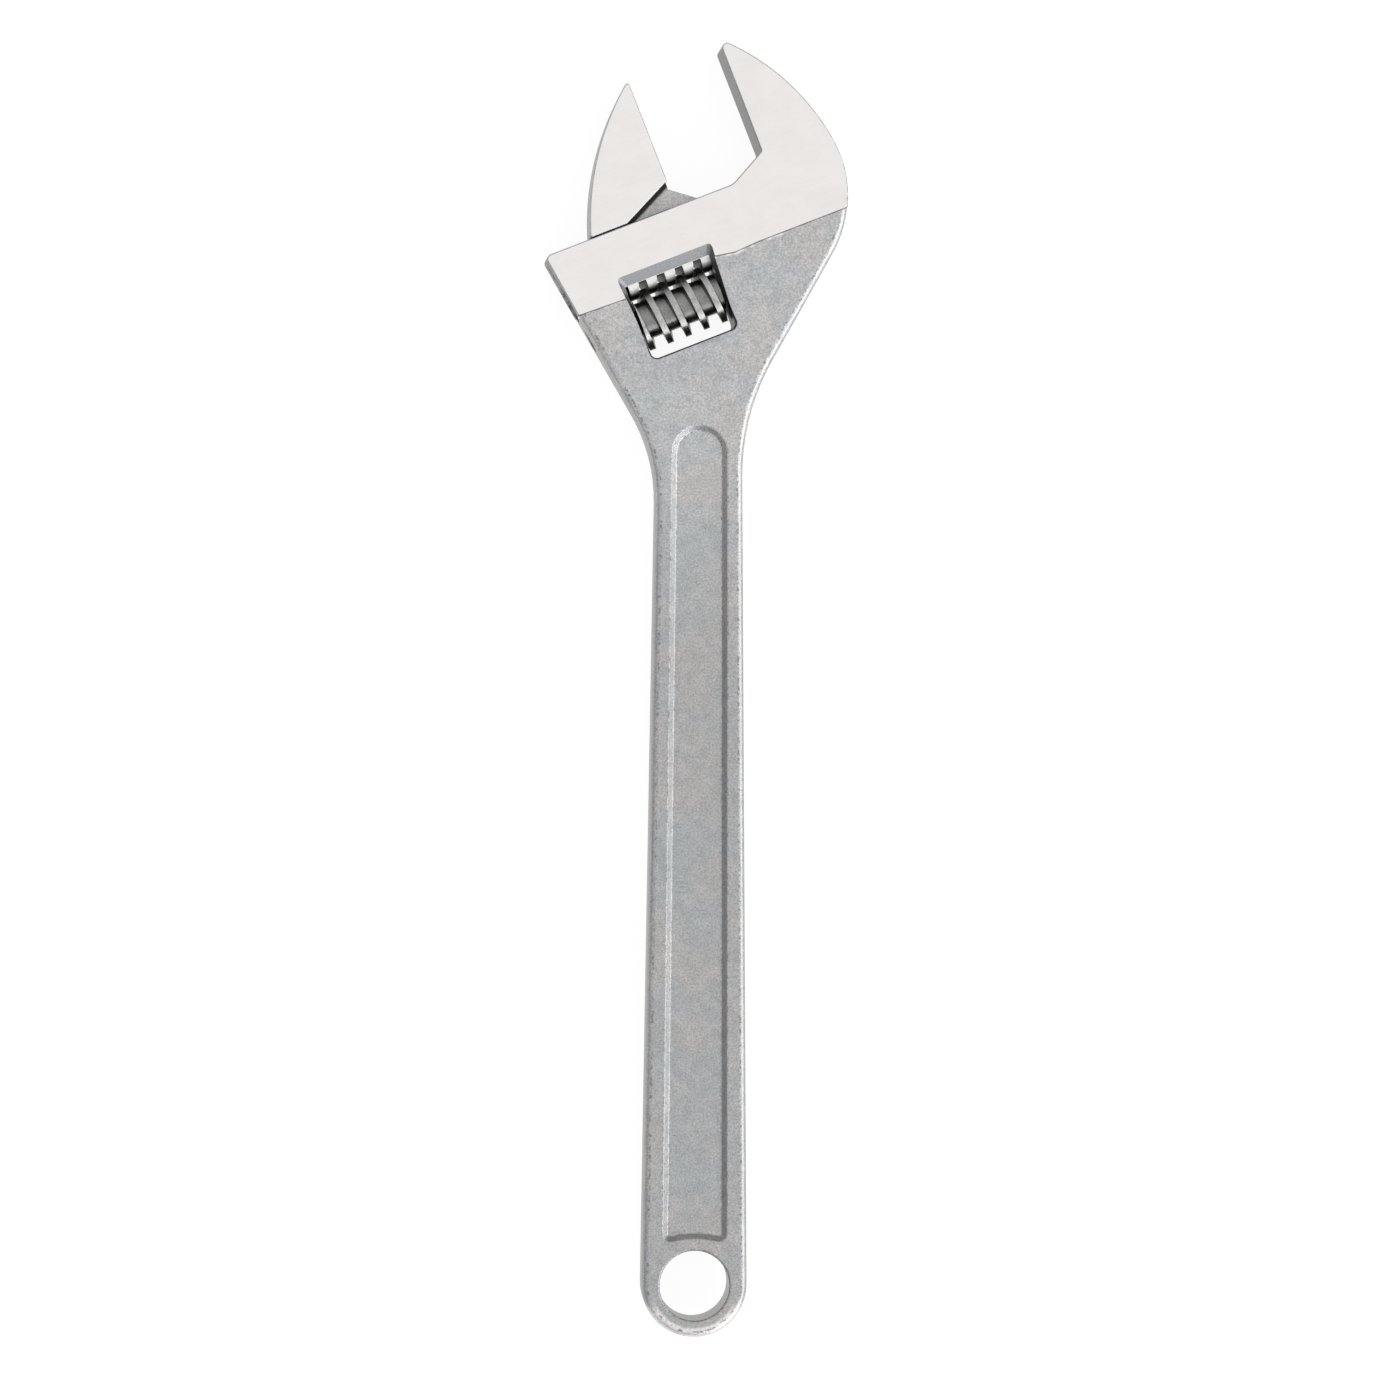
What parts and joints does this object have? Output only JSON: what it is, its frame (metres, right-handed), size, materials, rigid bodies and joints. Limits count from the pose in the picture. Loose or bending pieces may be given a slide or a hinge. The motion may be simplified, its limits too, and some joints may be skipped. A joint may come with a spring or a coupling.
{
  "type": "adjustable wrench",
  "caption": "Large adjustable wrench: forged handle and fixed jaw, a sliding jaw with a rack, and a thumb-turned worm that sets the opening.",
  "frame": {"origin": "centre of the hanging hole at mid-thickness", "axes": "+Y along the handle towards the head, +X towards the fixed jaw's side, +Z out of the upper cheek, so the wrench lies flat"},
  "size_m": [0.1415, 0.6096, 0.029],
  "materials": {
    "plated_forging": "satin plated forging with ground cheeks",
    "ground_steel": "fine ground, satin",
    "worm_steel": "turned, dull plated",
    "pin_steel": "turned",
    "spring_steel": "drawn wire"
  },
  "bodies": {
    "body": {"body": "plated_forging", "worm_pin": "pin_steel", "worm_spring": "spring_steel"},
    "jaw": {"movable_jaw": "ground_steel"},
    "worm": {"worm": "worm_steel"}
  },
  "joints": [
    {"name": "jaw_slide", "type": "slide", "parent": "body", "child": "jaw", "axis": [0.9291, 0.3697, 0], "range_m": [-0.015, 0.0465]},
    {"name": "worm_spin", "type": "hinge", "parent": "body", "child": "worm", "pos_m": [-0.00967, 0.46175, 0], "axis": [0.9291, 0.3697, 0], "range_deg": [-1840, 600]}
  ],
  "couplings": [
    {"joint": "worm_spin", "follows": "jaw_slide", "rad_per_m": -686.69}
  ]
}
